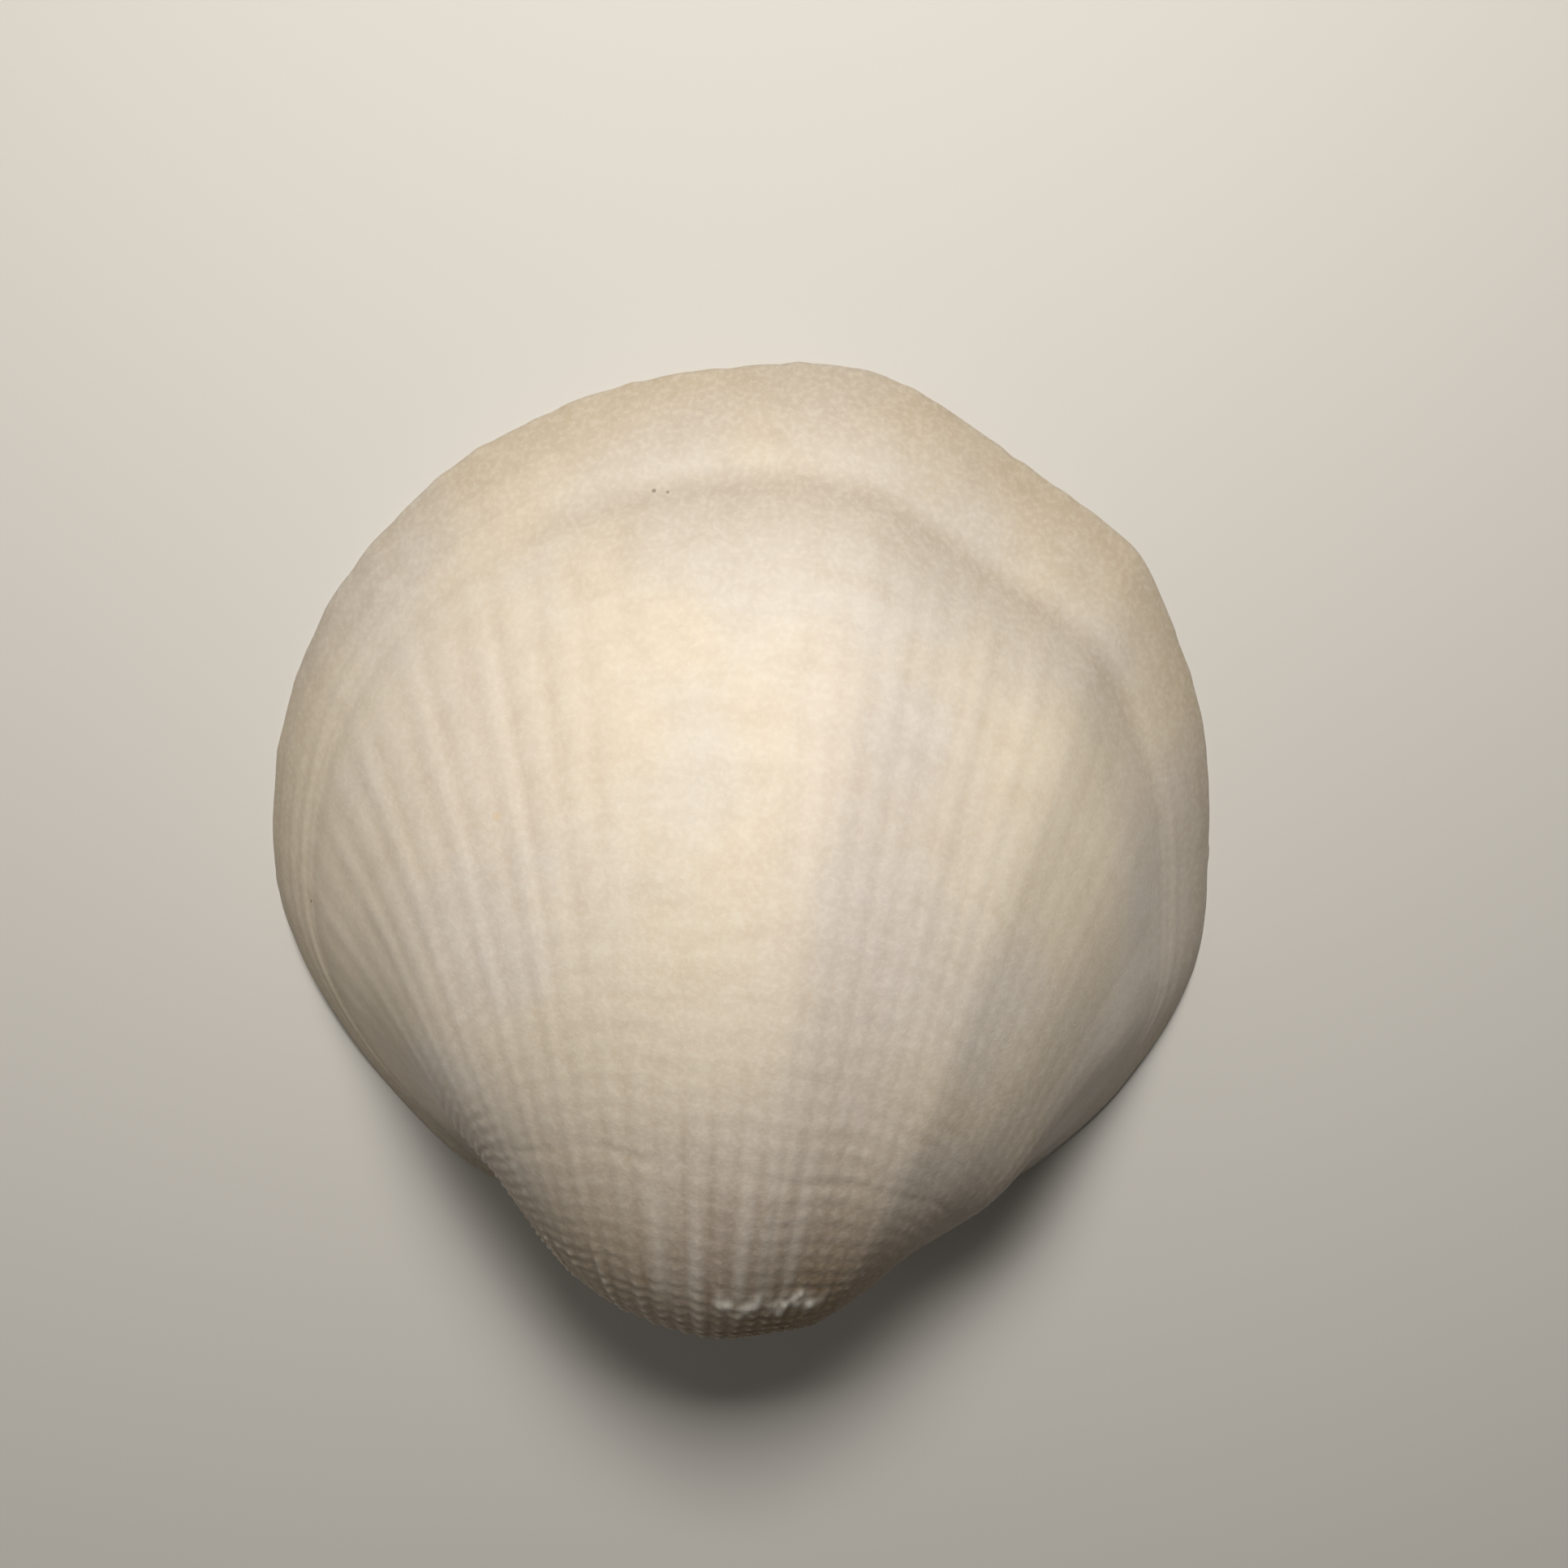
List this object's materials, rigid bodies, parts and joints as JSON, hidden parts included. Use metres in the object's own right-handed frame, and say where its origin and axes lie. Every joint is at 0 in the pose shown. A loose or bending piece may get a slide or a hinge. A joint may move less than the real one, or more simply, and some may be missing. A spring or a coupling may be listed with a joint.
{
  "type": "clam shell",
  "caption": "Single rounded clam shell valve with fine radial ribs, a growth step near the rim, a curled beak, a toothed hinge plate and an open bowl inside.",
  "frame": {"origin": "middle of the shell's box, on the plane of its rim", "axes": "+Z out of the domed side, +Y from the hinge to the far edge of the shell, X along the hinge line"},
  "size_m": [0.0242, 0.0242, 0.0095],
  "materials": {
    "shell": "satin"
  },
  "bodies": {
    "root": {"valve": "shell"}
  },
  "joints": []
}
